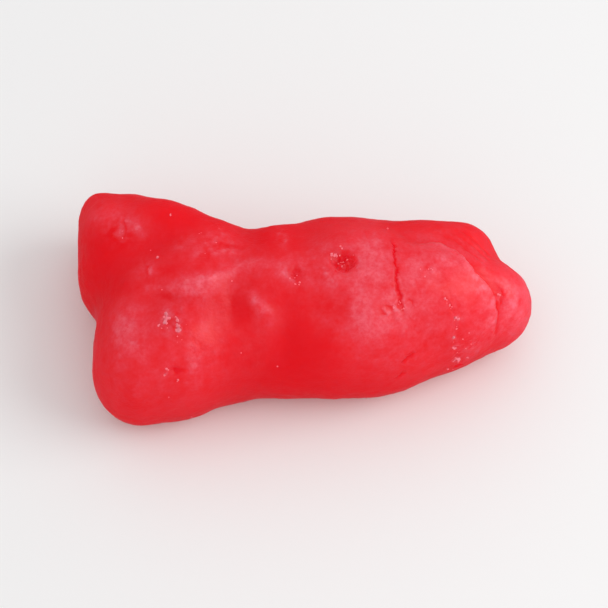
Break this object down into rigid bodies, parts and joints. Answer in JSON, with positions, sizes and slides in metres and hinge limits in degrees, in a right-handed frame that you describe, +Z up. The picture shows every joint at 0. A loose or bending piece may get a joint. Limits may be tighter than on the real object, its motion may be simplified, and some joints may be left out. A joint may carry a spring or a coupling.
{
  "type": "gummy bunny",
  "caption": "Small red gummy bunny of one soft chewy piece, lying face up on its flat poured back, blunt ears in a V.",
  "frame": {"origin": "middle of the bounding box in plan, on the plane of the flat poured back that the bunny lies on", "axes": "+Z up, out of the face and belly; -X towards the ears, +X towards the feet; -Y towards the longer leg's side"},
  "size_m": [0.0322, 0.017, 0.0113],
  "materials": {
    "red_gummy": "translucent cherry-red gelatine gum with a soft oily sheen"
  },
  "bodies": {
    "root": {"gummy_bunny": "red_gummy"}
  },
  "joints": []
}
